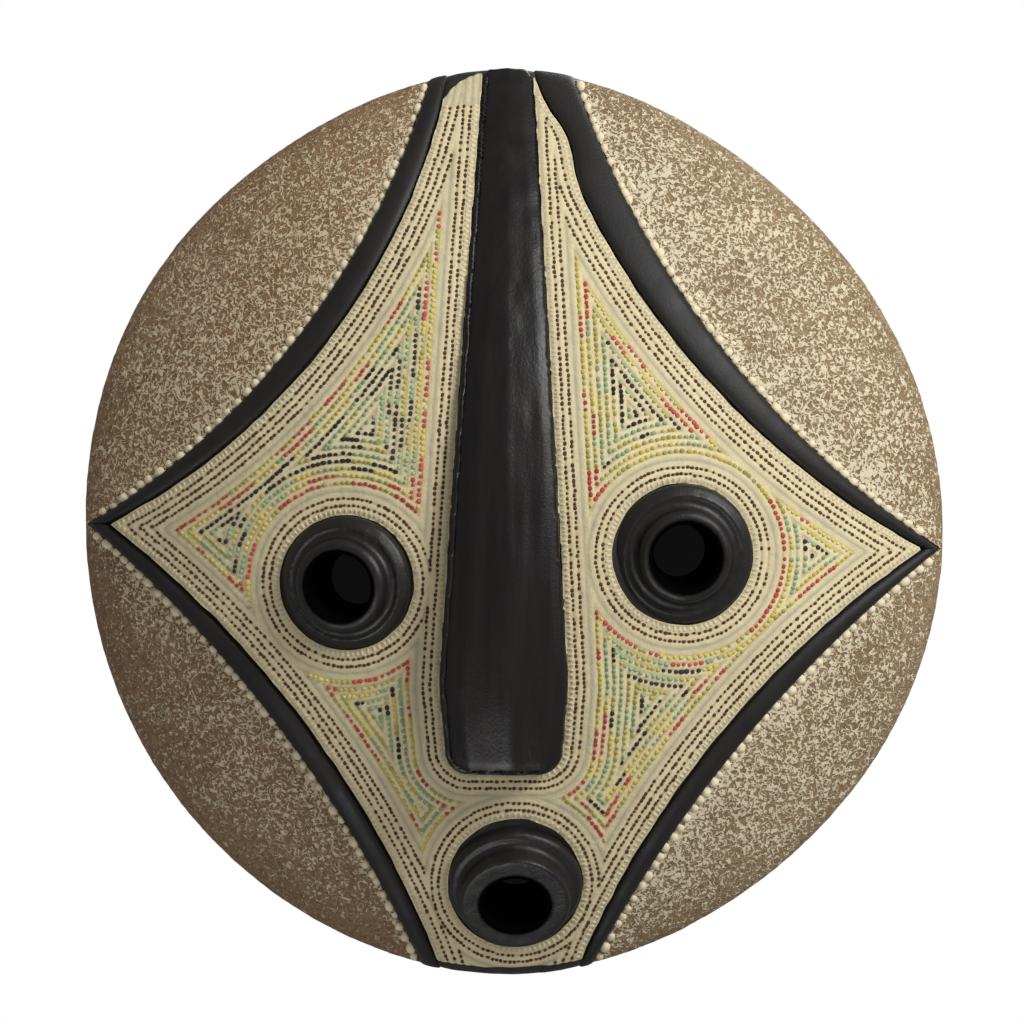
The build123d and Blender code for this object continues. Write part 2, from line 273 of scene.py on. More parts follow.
def raise_bumps(finish, surface, height, distance, under=None):
    """Fine relief from a height, on top of an earlier one if there is one."""
    links = [("Height", height)] + ([("Normal", under)] if under else [])
    bump = add_node(finish, "Bump", links, Strength=1.0, Distance=distance)
    finish.node_tree.links.new(bump.outputs[0], surface.inputs["Normal"])
    return bump.outputs[0]


def mark(finish, name):
    """A number stored in the mesh's points."""
    return add_node(finish, "Attribute", attribute_name=name).outputs["Fac"]


print("ready: speckle, blend_colour, vary_roughness, raise_bumps, mark")

# %% [markdown]
# **Black paint.** Thinned black over carved wood dries to a satin skin. It is never one
# black: broad passes differ a little, fine streaks follow the strokes, and where hands
# rub the crests a red-brown wood shows through.

# %% Black paint


def black_paint(name, stretch, rubbed=0.5, dullness=(0.38, 0.55), shine=0.30):
    """Satin black with streaks along one direction and brown rubbed places."""
    finish, surface = open_finish(name, 0.42, shine)
    place = place_of(finish, stretch)
    plain = place_of(finish)
    passes = speckle(finish, plain, 16, 3, 0.5, 0.3, 0.7)
    streaks = speckle(finish, place, 120, 5, 0.65, 0.3, 0.75)
    scuffs = speckle(finish, place, 34, 6, 0.7, 0.62, 0.82)
    colour = blend_colour(finish, passes, (0.0040, 0.0037, 0.0036), (0.0090, 0.0080, 0.0076))
    colour = blend_colour(finish, streaks, colour, (0.020, 0.016, 0.0145), 0.5)
    colour = blend_colour(finish, scuffs, colour, (0.040, 0.021, 0.015), rubbed)
    finish.node_tree.links.new(colour, surface.inputs["Base Color"])
    vary_roughness(finish, surface, streaks, *dullness)
    coarse = raise_bumps(finish, surface, streaks, 0.10 * MM)
    fine = speckle(finish, plain, 900, 3, 0.6, 0.3, 0.7)
    raise_bumps(finish, surface, fine, 0.04 * MM, coarse)
    return finish


nose_black = black_paint("nose_black", (1.0, 1.0, 0.07), 0.85, (0.30, 0.46), 0.22)
tube_black = black_paint("tube_black", (1.0, 1.0, 1.0), 0.45)
border_black = black_paint("border_black", (0.6, 0.6, 0.6), 0.12, (0.50, 0.66))
print("black paints:", nose_black.name, tube_black.name, border_black.name)

# %% [markdown]
# The tubes need one thing more. The wall of a hole is painted a deeper black, as painted
# shade inside the hole, and it is dead matt. A number stored in the mesh says where that
# is, and leads both the colour and the gloss.

# %% Black paint inside the tubes, with painted shade
tube_surface = tube_black.node_tree.nodes["Principled BSDF"]
tube_colour = tube_surface.inputs["Base Color"].links[0].from_socket
deep = mark(tube_black, "deep")
# painted shade: the wall of each hole gets a deeper black
tube_colour = blend_colour(tube_black, deep, tube_colour, (0.0015, 0.0014, 0.0014))
tube_black.node_tree.links.new(tube_colour, tube_surface.inputs["Base Color"])
gloss = add_node(tube_black, "MapRange", [("Value", deep)])
gloss.inputs["To Min"].default_value = 0.32
gloss.inputs["To Max"].default_value = 0.0
tube_black.node_tree.links.new(gloss.outputs[0], tube_surface.inputs["Specular IOR Level"])
print("nodes in the tubes' black:", len(tube_black.node_tree.nodes))

# %% [markdown]
# ** Chalk ground.** Chalk bound with glue gives a warm matt cream. Between the rows of
# dots the brush leaves low ridges, and the chalk is darker along the valleys where the
# rows lie; soft grey strokes separate the bands of dots. The distance to the nearest black
# edge is stored in the mesh, so the ridges and the darker valleys can follow the rows.

# %% Chalk ground
row_step = 2.65 * MM
first_row = 3.7 * MM

chalk, chalk_surface = open_finish("chalk_ground", 0.86, 0.25)
chalk_place = place_of(chalk)
chalk_clouds = speckle(chalk, chalk_place, 22, 4, 0.6, 0.3, 0.7)
chalk_grains = speckle(chalk, chalk_place, 420, 5, 0.7, 0.32, 0.68)
chalk_smears = speckle(chalk, chalk_place, 150, 5, 0.7, 0.5, 0.75)
chalk_rows = add_node(chalk, "Math", [(0, mark(chalk, "edge_distance"))], operation="MULTIPLY")
chalk_rows.inputs[1].default_value = 2 * pi / row_step
chalk_wave = add_node(chalk, "Math", [(0, chalk_rows.outputs[0])], operation="SUBTRACT")
chalk_wave.inputs[1].default_value = 2 * pi * first_row / row_step
chalk_ridge = add_node(chalk, "Math", [(0, chalk_wave.outputs[0])], operation="COSINE")
chalk_valley = add_node(chalk, "MapRange", [("Value", chalk_ridge.outputs[0])])
chalk_valley.inputs["From Min"].default_value = 0.0
chalk_colour = blend_colour(chalk, chalk_clouds, (0.64, 0.54, 0.315), (0.76, 0.665, 0.42))
# darker along the valleys where the rows of dots lie
chalk_colour = blend_colour(chalk, chalk_valley.outputs[0], chalk_colour, (0.39, 0.315, 0.165), 0.7)
chalk_colour = blend_colour(chalk, chalk_grains, chalk_colour, (0.40, 0.335, 0.20), 0.35)
chalk_grey = add_node(
    chalk, "Math", [(0, mark(chalk, "grey_stroke")), (1, chalk_smears)], operation="MULTIPLY"
)
chalk_colour = blend_colour(chalk, mark(chalk, "grey_stroke"), chalk_colour, (0.43, 0.385, 0.28), 0.55)
chalk_colour = blend_colour(chalk, chalk_grey.outputs[0], chalk_colour, (0.30, 0.29, 0.235), 0.75)
chalk.node_tree.links.new(chalk_colour, chalk_surface.inputs["Base Color"])
vary_roughness(chalk, chalk_surface, chalk_grains, 0.78, 0.93)
chalk_first = raise_bumps(chalk, chalk_surface, chalk_grains, 0.16 * MM)
raise_bumps(chalk, chalk_surface, chalk_clouds, 0.5 * MM, chalk_first)
print("nodes in the chalk:", len(chalk.node_tree.nodes))

# %% [markdown]
# **Dot paints.** Each dot is a drop of thick paint set down with a stick. One finish per
# colour, all made the same way: a body colour, a second tone that breaks it up, and a
# faint grain.

# %% Dot paints


def dot_paint(name, body, second, roughness=0.7):
    """Thick paint in one colour, broken by a second tone."""
    finish, surface = open_finish(name, roughness, 0.3)
    place = place_of(finish)
    patches = speckle(finish, place, 260, 4, 0.65, 0.3, 0.7)
    colour = blend_colour(finish, patches, body, second)
    finish.node_tree.links.new(colour, surface.inputs["Base Color"])
    vary_roughness(finish, surface, patches, roughness - 0.08, roughness + 0.1)
    raise_bumps(finish, surface, speckle(finish, place, 1400, 3, 0.6, 0.3, 0.7), 0.06 * MM)
    return finish


dot_colours = {
    "brown": dot_paint("brown_dots", (0.050, 0.020, 0.012), (0.105, 0.045, 0.028)),
    "red": dot_paint("red_dots", (0.36, 0.035, 0.028), (0.52, 0.10, 0.07)),
    "yellow": dot_paint("yellow_dots", (0.50, 0.39, 0.035), (0.60, 0.50, 0.12)),
    "olive": dot_paint("olive_dots", (0.33, 0.30, 0.045), (0.45, 0.40, 0.12)),
    "green": dot_paint("green_dots", (0.19, 0.31, 0.155), (0.32, 0.42, 0.25)),
    "black": dot_paint("black_dots", (0.012, 0.013, 0.014), (0.030, 0.030, 0.032)),
    "tick": dot_paint("tick_dabs", (0.57, 0.485, 0.285), (0.66, 0.57, 0.36), 0.85),
    "cream": dot_paint("cream_dabs", (0.66, 0.565, 0.37), (0.74, 0.65, 0.46), 0.8),
}
print("dot paints:", ", ".join(dot_colours))

# %% [markdown]
# **Corner crust.** Brown paint was laid thick and rough, then a nearly dry brush of cream
# was dragged over it, so the cream sits only on high worm-like ridges. A worm is a place
# where a fine noise is near its middle value; a second noise breaks it into short
# strokes. How rich the cream is, from 0 to 1, comes from the mesh.

# %% Corner crust


def cream_cover(finish, place):
    """A mask that is 1 where the dry brush left cream: short, worm-like strokes."""
    worms = add_node(finish, "TexNoise", [("Vector", place)], Scale=500, Detail=1.0, Roughness=0.5)
    worms.inputs["Distortion"].default_value = 0.7
    middle = add_node(finish, "Math", [(0, worms.outputs["Fac"])], operation="SUBTRACT")
    middle.inputs[1].default_value = 0.5
    worm = add_node(finish, "Math", [(0, middle.outputs[0])], operation="ABSOLUTE")
    breaks = speckle(finish, place, 640, 1.5, 0.5, 0.40, 0.60)
    rich = add_node(finish, "MapRange", [("Value", mark(finish, "rich"))])
    rich.inputs["To Min"].default_value = -0.02
    rich.inputs["To Max"].default_value = 0.10
    ragged = add_node(finish, "Math", [(0, breaks), (1, rich.outputs[0])], operation="MULTIPLY_ADD")
    ragged.inputs[1].default_value = 0.075
    finish.node_tree.links.new(rich.outputs[0], ragged.inputs[2])
    depth = add_node(finish, "Math", [(0, ragged.outputs[0]), (1, worm.outputs[0])], operation="SUBTRACT")
    cover = add_node(finish, "MapRange", [("Value", depth.outputs[0])])
    cover.inputs["From Min"].default_value = -0.012
    cover.inputs["From Max"].default_value = 0.045
    return cover.outputs[0]


print("ready: cream_cover")

# %% [markdown]
# Under the cream lies the brown: broad warm and dark places, darker pits, and lighter
# grains. The left side is painted a little darker, and its cream a little duller, as painted
# shade on the side away from the lamp.

# %% The four crusts


def crust_paint(name, deep, warm, cream=(0.66, 0.575, 0.41)):
    """Rough brown with cream on its ridges."""
    finish, surface = open_finish(name, 0.8, 0.25)
    place = place_of(finish)
    broad = speckle(finish, place, 28, 4, 0.6, 0.3, 0.7)
    grains = speckle(finish, place, 900, 3, 0.7, 0.3, 0.7)
    pits = speckle(finish, place, 520, 3, 0.6, 0.42, 0.62)
    cover = cream_cover(finish, place)
    colour = blend_colour(finish, broad, deep, warm)
    colour = blend_colour(finish, pits, colour, tuple(0.5 * part for part in deep), 0.75)
    colour = blend_colour(finish, grains, colour, tuple(1.5 * part for part in warm), 0.3)
    colour = blend_colour(finish, cover, colour, cream, 0.88)
    finish.node_tree.links.new(colour, surface.inputs["Base Color"])
    vary_roughness(finish, surface, cover, 0.62, 0.88)
    first = raise_bumps(finish, surface, grains, 0.12 * MM)
    raise_bumps(finish, surface, cover, 0.34 * MM, first)
    return finish


# painted shade: the two left crusts get darker browns and duller cream than the right ones
left_shaded_cream = {"upper_left": (0.60, 0.50, 0.33), "lower_left": (0.58, 0.485, 0.325)}
crust_finishes = {
    "upper_left": crust_paint(
        "crust_upper_left", (0.185, 0.098, 0.045), (0.260, 0.155, 0.078), left_shaded_cream["upper_left"]
    ),
    "lower_left": crust_paint(
        "crust_lower_left", (0.170, 0.094, 0.046), (0.235, 0.142, 0.074), left_shaded_cream["lower_left"]
    ),
    "upper_right": crust_paint("crust_upper_right", (0.195, 0.122, 0.055), (0.275, 0.185, 0.088)),
    "lower_right": crust_paint("crust_lower_right", (0.190, 0.122, 0.060), (0.265, 0.180, 0.090)),
}
print("crusts:", ", ".join(crust_finishes))

# %% [markdown]
# **Shell wood.** A pale, soft carving wood. Its back and hollow are stained brown, with
# straight grain; its rim beside the black bands is painted black. How black a place is
# comes from a number stored in the mesh.

# %% Shell wood
shell_wood, wood_surface = open_finish("shell_wood", 0.62, 0.35)
grain_place = place_of(shell_wood, (1.0, 1.0, 0.06))
wood_plain = place_of(shell_wood)
grain_lines = speckle(shell_wood, grain_place, 260, 6, 0.6, 0.35, 0.65)
grain_bands = speckle(shell_wood, grain_place, 38, 4, 0.55, 0.3, 0.7)
stain_clouds = speckle(shell_wood, wood_plain, 14, 4, 0.6, 0.3, 0.7)
wood_colour = blend_colour(shell_wood, grain_bands, (0.150, 0.078, 0.038), (0.265, 0.155, 0.080))
wood_colour = blend_colour(shell_wood, grain_lines, wood_colour, (0.085, 0.044, 0.024), 0.55)
wood_colour = blend_colour(shell_wood, stain_clouds, wood_colour, (0.110, 0.060, 0.034), 0.45)
wood_colour = blend_colour(shell_wood, mark(shell_wood, "black"), wood_colour, (0.016, 0.0145, 0.014))
shell_wood.node_tree.links.new(wood_colour, wood_surface.inputs["Base Color"])
vary_roughness(shell_wood, wood_surface, grain_lines, 0.5, 0.75)
raise_bumps(shell_wood, wood_surface, grain_lines, 0.12 * MM)
print("nodes in the shell's wood:", len(shell_wood.node_tree.nodes))

# %% [markdown]
# **Peg wood.** The two pegs that hold the nose are split from a paler, harder stick. They
# are hidden when the mask is whole, so a plain grain is enough.

# %% Peg wood
peg_wood, peg_surface = open_finish("peg_wood", 0.6)
peg_lines = speckle(peg_wood, place_of(peg_wood, (1, 0.08, 1)), 500, 5, 0.6)
peg_colour = blend_colour(peg_wood, peg_lines, (0.50, 0.36, 0.20), (0.36, 0.24, 0.13))
peg_wood.node_tree.links.new(peg_colour, peg_surface.inputs["Base Color"])
raise_bumps(peg_wood, peg_surface, peg_lines, 0.05 * MM)
print("nodes in the pegs' wood:", len(peg_wood.node_tree.nodes))

# %% [markdown]
# **Hanger steel.** Thin plated steel from a hardware shop: dull, with fine scratches
# along the metal and a little tarnish in patches.

# %% Hanger steel
steel, steel_surface = open_finish("hanger_steel", 0.38)
steel_surface.inputs["Metallic"].default_value = 1.0
steel_lines = speckle(steel, place_of(steel, (0.1, 1, 1)), 1800, 4, 0.6, 0.3, 0.7)
steel_spots = speckle(steel, place_of(steel), 240, 5, 0.65, 0.5, 0.75)
steel_colour = blend_colour(steel, steel_lines, (0.50, 0.48, 0.44), (0.62, 0.60, 0.56))
steel_colour = blend_colour(steel, steel_spots, steel_colour, (0.27, 0.22, 0.17), 0.6)
steel.node_tree.links.new(steel_colour, steel_surface.inputs["Base Color"])
vary_roughness(steel, steel_surface, steel_spots, 0.28, 0.6)
raise_bumps(steel, steel_surface, steel_lines, 0.02 * MM)
print("nodes in the steel:", len(steel.node_tree.nodes))

# %% [markdown]
# ## The drawing of the face
# The face is drawn flat, seen from the front, and then lifted on to the dome. Every edge
# of the drawing answers two questions: how far is a point from it, and where does the
# line run that lies a given distance inside it. Rows of dots are such lines.

# %% Sizes of the drawing
tip_inset = {"left": 10.0 * MM, "right": 8.5 * MM}
tip_height = {"left": -0.7 * MM, "right": -10.0 * MM}
black_tip_inset = 1.5 * MM
rim_run = half_height + 2.0 * MM
# border: (inner end x, inner bow, outer end x, outer bow), in millimetres
border_ends = {
    "upper_left": (-24.5, 27.5, -31.0, 23.6),
    "upper_right": (6.5, 26.0, 21.5, 22.4),
    "lower_left": (-26.4, 17.3, -33.0, 14.6),
    "lower_right": (22.5, 17.8, 27.0, 13.8),
}
print("borders:", ", ".join(border_ends))

# %% [markdown]
# **Bowed edges.** A border's two edges are arcs of circles, each given by its two ends
# and how far it bows between them, as a maker would spring a thin lath. The circle's
# middle and radius follow from that.

# %% Bowed edges


def bowed_edge(name, outer):
    """Middle and radius of the circle a border's edge is cut along, and its two ends."""
    side = name.split("_")[1]
    sign = -1 if side == "left" else 1
    end_x, bow = border_ends[name][2:] if outer else border_ends[name][:2]
    inset = black_tip_inset if outer else tip_inset[side]
    top = np.array([end_x * MM, rim_run if name.startswith("upper") else -rim_run])
    tip = np.array([sign * (half_width - inset), tip_height[side]])
    middle = (top + tip) / 2
    chord = np.linalg.norm(tip - top)
    bow = bow * MM
    radius = chord**2 / (8 * bow) + bow / 2
    across = np.array([tip[1] - top[1], top[0] - tip[0]]) / chord
    across = across if across @ middle > 0 else -across
    return middle + across * (radius - bow), radius, top, tip


class Edge:
    """A closed or open line of the drawing, as points close together."""

    def __init__(self, name, points, distance, shifted):
        self.name = name
        self.points = points
        self.distance = distance
        self.shifted = shifted


def arc_edge(name, outer=False):
    """The edge of a black border."""
    middle, radius, top, tip = bowed_edge(name, outer)
    start = atan2(*(top - middle)[::-1])
    end = atan2(*(tip - middle)[::-1])
    turn = (end - start + pi) % (2 * pi) - pi
    angles = start + turn * np.linspace(-0.06, 1.06, 700)
    ways = np.stack([np.cos(angles), np.sin(angles)], 1)
    slip = 4.0 * MM if name == "upper_right" and not outer else 0.0

    def bulge(z):
        """Where the brush slipped and the cream runs wide, near the top right."""
        return slip * np.exp(-(((z - 143 * MM) / (13 * MM)) ** 2))

    def shifted(off):
        line = middle + ways * (radius + off)
        return line - ways * bulge(line[:, 1])[:, None]

    return Edge(
        name,
        shifted(0.0),
        lambda p: np.linalg.norm(p - middle, axis=1) - radius + bulge(p[:, 1]),
        shifted,
    )


print("radius of the upper left border, mm:", round(bowed_edge("upper_left", False)[1] / MM, 1))

# %% [markdown]
# **Round edges.** The feet of the eyes and the mouth are circles on the drawing. They
# answer the same two questions as the bowed edges do.

# %% Round edges


def round_edge(name, middle, radius):
    """The foot of a turned tube."""
    middle = np.array(middle)
    angles = np.linspace(0, 2 * pi, 500)
    ways = np.stack([np.cos(angles), np.sin(angles)], 1)
    return Edge(
        name,
        middle + ways * radius,
        lambda p: np.linalg.norm(p - middle, axis=1) - radius,
        lambda off: middle + ways * (radius + off),
    )


print("ready: round_edge")

# %% [markdown]
# **The nose's outline** runs from rim to rim: down one side, round the foot's two soft
# corners, and up the other. Only its corners are given, and the soft ones are rounded.

# %% The nose's outline
nose_foot = -92.0 * MM
nose_widest = -60.0 * MM
nose_corner = 8.5 * MM
nose_outline = np.array(
    [
        (-11.4 * MM, rim_run),
        (-27.3 * MM, nose_widest),
        (-24.5 * MM, nose_foot),
        (17.0 * MM, nose_foot),
        (19.5 * MM, nose_widest),
        (6.8 * MM, rim_run),
    ]
)


def rounded(corners, radius, which):
    """An open line through these corners, with some of them rounded."""
    line = []
    for number, corner in enumerate(corners):
        if number not in which:
            line.append(corner)
            continue
        back = corners[number - 1] - corner
        ahead = corners[number + 1] - corner
        back = back / np.linalg.norm(back)
        ahead = ahead / np.linalg.norm(ahead)
        half = np.arccos(back @ ahead) / 2
        middle = corner + (back + ahead) / np.linalg.norm(back + ahead) * radius / np.sin(half)
        start = corner + back * radius / np.tan(half) - middle
        end = corner + ahead * radius / np.tan(half) - middle
        for share in np.linspace(0, 1, 16):
            way = start * (1 - share) + end * share
            line.append(middle + way / np.linalg.norm(way) * radius)
    return np.array(line)


def spread(line, step):
    """The same line with points a step apart."""
    run = np.concatenate([[0], np.cumsum(np.linalg.norm(np.diff(line, axis=0), axis=1))])
    spots = np.linspace(0, run[-1], max(int(run[-1] / step), 2))
    return np.stack([np.interp(spots, run, line[:, 0]), np.interp(spots, run, line[:, 1])], 1)


print("nose widths at foot and widest, mm:", (nose_outline[[3, 4], 0] - nose_outline[[2, 1], 0]) / MM)

# %% [markdown]
# **An edge along any line.** For the nose, the distance is measured to the nearest of
# many points along its outline. A circle's formula would be quicker, but the nose has none.

# %% An edge along any line


def line_edge(name, line):
    """An edge along any line; the drawing lies on its right-hand side as it runs."""
    line = spread(line, 0.8 * MM)
    along = np.gradient(line, axis=0)
    along = along / np.linalg.norm(along, axis=1, keepdims=True)
    aside = np.stack([along[:, 1], -along[:, 0]], 1)

    def distance(p):
        result = np.empty(len(p))
        for start in range(0, len(p), 4000):
            gap = p[start : start + 4000, None, :] - line[None]
            reach = (gap**2).sum(2)
            near = reach.argmin(1)
            rows = np.arange(len(near))
            sign = np.sign((gap[rows, near] * aside[near]).sum(1))
            result[start : start + 4000] = np.sqrt(reach[rows, near]) * sign
        return result

    return Edge(name, line, distance, lambda off: line + aside * off)


print("ready: line_edge")

# %% [markdown]
# All edges are made once and used by every layer of paint, so chalk, dots and borders
# always agree with each other.

# %% All the edges
nose_line = rounded(nose_outline, nose_corner, (2, 3))
nose_edge = line_edge("nose", nose_line)
left_eye_edge = round_edge("left_eye", (-61.6 * MM, -22.2 * MM), 24.6 * MM)
right_eye_edge = round_edge("right_eye", (61.9 * MM, -11.8 * MM), 25.8 * MM)
mouth_edge = round_edge("mouth", (0.4 * MM, -135.1 * MM), 25.0 * MM)
inner_edges = {name: arc_edge(name) for name in border_ends}
outer_edges = {name: arc_edge(name, outer=True) for name in border_ends}
test_spots = np.array([[0.03, 0.0], [-0.1, 0.0], [0.0, -0.1]])
print("nose distance of three spots, mm:", (nose_edge.distance(test_spots) / MM).round(1))

# %% [markdown]
# ## Filling a region of the drawing
# Chalk, borders and crusts are all skins with a free outline. A square net is laid over
# the region, and the cells on its edge are cut where the edge crosses them. It works for
# any outline that can say whether a point is inside, and gives clean, even faces.

# %% Cut a net to an outline


def cut_net(inside, step, low, high):
    """Flat points and faces that cover the places where inside(points) is above 0."""
    across = np.arange(low[0], high[0] + step, step)
    up = np.arange(low[1], high[1] + step, step)
    net = np.stack(np.meshgrid(across, up, indexing="ij"), -1)
    value = inside(net.reshape(-1, 2)).reshape(net.shape[:2])
    keep = value > 0
    number = np.full(keep.shape, -1)
    number[keep] = np.arange(keep.sum())
    points = list(net[keep])
    count = keep[:-1, :-1].astype(int) + keep[1:, :-1] + keep[1:, 1:] + keep[:-1, 1:]
    i, j = np.nonzero(count == 4)
    whole = np.stack([number[i, j], number[i + 1, j], number[i + 1, j + 1], number[i, j + 1]], 1)
    faces = whole.tolist()
    crossings = {}
    for i, j in zip(*np.nonzero((count > 0) & (count < 4))):
        corners = [(i, j), (i + 1, j), (i + 1, j + 1), (i, j + 1)]
        loop = []
        for here, there in zip(corners, corners[1:] + corners[:1]):
            if keep[here]:
                loop.append(int(number[here]))
            if keep[here] != keep[there]:
                pair = (here, there) if here < there else (there, here)
                if pair not in crossings:
                    share = value[here] / (value[here] - value[there])
                    share = min(max(share, 0.03), 0.97)
                    crossings[pair] = len(points)
                    points.append(net[here] * (1 - share) + net[there] * share)
                loop.append(crossings[pair])
        if len(loop) > 2:
            faces.append(loop)
    return np.array(points), faces


print("a small disc has", len(cut_net(lambda p: 1 - np.hypot(*p.T), 0.5, (-1, -1), (1, 1))[1]), "faces")

# %% [markdown]
# Points and faces become a piece here, with smooth shading, a finish, and any numbers
# that the finish reads. Numbers stored in the mesh's points cost nothing to draw and
# follow the outline exactly, which a noise in the material couldn't do.

# %% Points and faces into a piece


def build(name, points, faces, finish, marks=None):
    """A smooth mesh piece with a finish, and numbers stored in its points."""
    mesh = bpy.data.meshes.new(name)
    mesh.from_pydata(points.tolist(), [], faces)
    mesh.materials.append(finish)
    mesh.polygons.foreach_set("use_smooth", [True] * len(mesh.polygons))
    for key, values in (marks or {}).items():
        store = mesh.attributes.new(key, "FLOAT", "POINT")
        store.data.foreach_set("value", np.asarray(values, dtype=np.float32))
    mesh.validate()
    piece = bpy.data.objects.new(name, mesh)
    bpy.context.scene.collection.objects.link(piece)
    return piece


print("ready: build")

# %% [markdown]
# A coat of paint has thickness. So the open edge of each skin is carried down into the
# wood like a skirt, and the skin looks solid from every side.

# %% Skins on the dome


def skirt(points, faces, lower):
    """The same skin with its open edge carried down to these lower points."""
    uses = {}
    for face in faces:
        for a, b in zip(face, face[1:] + face[:1]):
            uses[(a, b)] = uses.get((a, b), 0) + 1
    rim = [(a, b) for a, b in uses if (b, a) not in uses]
    copies = {}
    extra = []
    for a, b in rim:
        for point in (a, b):
            if point not in copies:
                copies[point] = len(points) + len(extra)
                extra.append(point)
    sides = [[b, a, copies[a], copies[b]] for a, b in rim]
    return np.vstack([points, lower[extra]]), faces + sides, np.array(extra)


def lay_skin(name, inside, step, box, height, base, foot, finish, marks):
    """A skin on the dome: its outline, its height above a ball, and its finish."""
    flat, faces = cut_net(inside, step, *box)
    top = lift(flat, base)
    top = top + outward(top) * height(flat)[:, None]
    points, faces, copied = skirt(top, faces, lift(flat, foot))
    values = {key: make(flat) for key, make in marks.items()}
    values = {key: np.concatenate([v, v[copied]]) for key, v in values.items()}
    piece = build(name, points, faces, finish, values)
    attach(piece, "mask")
    print(name, "points", len(points), "faces", len(faces))
    return piece


print("ready: skirt, lay_skin")

# %% [markdown]
# **The chalk ground** fills the four-pointed panel round the nose and the tubes. At the
# top left it runs out in a plain patch without dots. The brush line round the black
# pieces wavers a little.

# %% Edges round the ground
ground_margin = 3.0 * MM
plain_patch_foot = 157.0 * MM  # no dots above this, left of the nose
patch_line = (np.array([-27.8, 158.5]) * MM, np.array([-10.0, 171.5]) * MM)
face_edges = [nose_edge, left_eye_edge, right_eye_edge, mouth_edge, *inner_edges.values()]
print("black edges round the ground:", len(face_edges))

# %% [markdown]
# The rim was cut by hand and isn't a true oval, so its reach in every direction is read
# from the shell's own back edge.

# %% The rim
shell_points = np.array([point.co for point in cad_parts["mask_shell"].data.vertices])
back = shell_points[shell_points[:, 1] > -0.05 * MM][:, [0, 2]]
back_angle = np.arctan2(back[:, 1], back[:, 0])
back_reach = np.hypot(back[:, 0], back[:, 1])
on_rim = np.hypot(back[:, 0] / half_width, back[:, 1] / half_height) > 0.94
order = np.argsort(back_angle[on_rim])
rim_angle, rim_reach = back_angle[on_rim][order], back_reach[on_rim][order]
print("rim points", len(rim_angle), "reach", rim_reach.min().round(4), rim_reach.max().round(4))


def rim_gap(points):
    """How far inside the hand-cut rim these flat points are."""
    angle = np.arctan2(points[:, 1], points[:, 0])
    return np.interp(angle, rim_angle, rim_reach, period=2 * pi) - np.hypot(points[:, 0], points[:, 1])


print("gap at the middle, mm:", (rim_gap(np.zeros((1, 2))) / MM).round(1))

# %% [markdown]
# Where the chalk lies is the smallest of several distances: to the black edges, to the
# rim, and to the slanted top of the plain patch. The brush's waver is taken off last.

# %% Where the chalk lies


def patch_gap(points):
    """How far below the slanted top of the plain patch these points are."""
    start, end = patch_line
    along = (end - start) / np.linalg.norm(end - start)
    share = np.clip((points - start) @ along / np.linalg.norm(end - start), 0, 1)
    return (points - start) @ np.array([along[1], -along[0]]) + 2.4 * MM * np.sin(pi * share)


def face_gap(points):
    """How far inside the chalk ground these points are, without its waver."""
    gaps = [edge.distance(points) for edge in face_edges]
    patch = np.exp(-(((points[:, 0] + 16 * MM) / (7 * MM)) ** 2)) * (points[:, 1] > 0)
    gaps.append(rim_gap(points) - ground_margin * (1 - 0.8 * patch))
    gaps.append(np.where(points[:, 0] < -8 * MM, patch_gap(points), 1.0))
    return np.min(gaps, axis=0)


def ground_inside(points):
    """The painted outline of the ground, with the brush's waver."""
    return face_gap(points) - (0.25 + 0.3 * waver(points, 5 * MM, 3)) * MM


def edge_distance(points):
    """Distance to the nearest black edge."""
    return np.min([edge.distance(points) for edge in face_edges], axis=0)


print("gap of three spots, mm:", (face_gap(test_spots) / MM).round(1))

# %% [markdown]
# Two things are painted into the ground's mesh: the distance to the nearest black edge,
# for the brush ridges, and the soft grey strokes between the bands of dots.

# %% Strokes and ridges of the ground


def grey_stroke(points):
    """1 on the soft grey strokes: beside every black edge and between bands of dots."""
    result = np.zeros(len(points))
    nearest = np.argmin([edge.distance(points) for edge in face_edges], axis=0)
    gap = edge_distance(points)
    wobble = 0.5 * MM * waver(points, 9 * MM, 5)
    for number, edge in enumerate(face_edges):
        rows = 3 if edge.name in inner_edges else 2
        middle = first_row + (rows + 0.05) * row_step
        for place, width in ((1.5 * MM, 0.9 * MM), (middle, 1.25 * MM)):
            hit = np.exp(-(((gap + wobble - place) / width) ** 2))
            result = np.where(nearest == number, np.maximum(result, hit), result)
    plain = (points[:, 0] < -8 * MM) & (points[:, 1] > plain_patch_foot - 1.0 * MM)
    return np.where(plain, np.maximum(result, 0.75), result)


def ground_height(points):
    """Brush ridges between the rows, and a slow unevenness of the chalk."""
    ridge = -0.20 * MM * np.cos(2 * pi * (edge_distance(points) - first_row) / row_step)
    return ridge + 0.12 * MM * waver(points, 7 * MM, 8) + 0.05 * MM * waver(points, 2 * MM, 9)


print("height of three spots, mm:", (ground_height(test_spots) / MM).round(2))

# %% [markdown]
# With outline, height and marks ready, the ground is laid in one call. It takes the place
# of the plain panel, and shares the mask's movement.

# %% The chalk ground
ground_box = ((-half_width, -half_height), (half_width, half_height))
ground = lay_skin(
    "chalk_ground",
    ground_inside,
    0.95 * MM,
    ground_box,
    ground_height,
    ground_radius,
    panel_radius - 0.4 * MM,
    chalk,
    {"edge_distance": edge_distance, "grey_stroke": grey_stroke},
)
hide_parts("face_ground")

# %% [markdown]
# **The black borders** are low rounded ridges. Their section is a flat-topped bow,
# steeper on the outside where the corner fields lie lower.

# %% The borders
border_step = 0.8 * MM


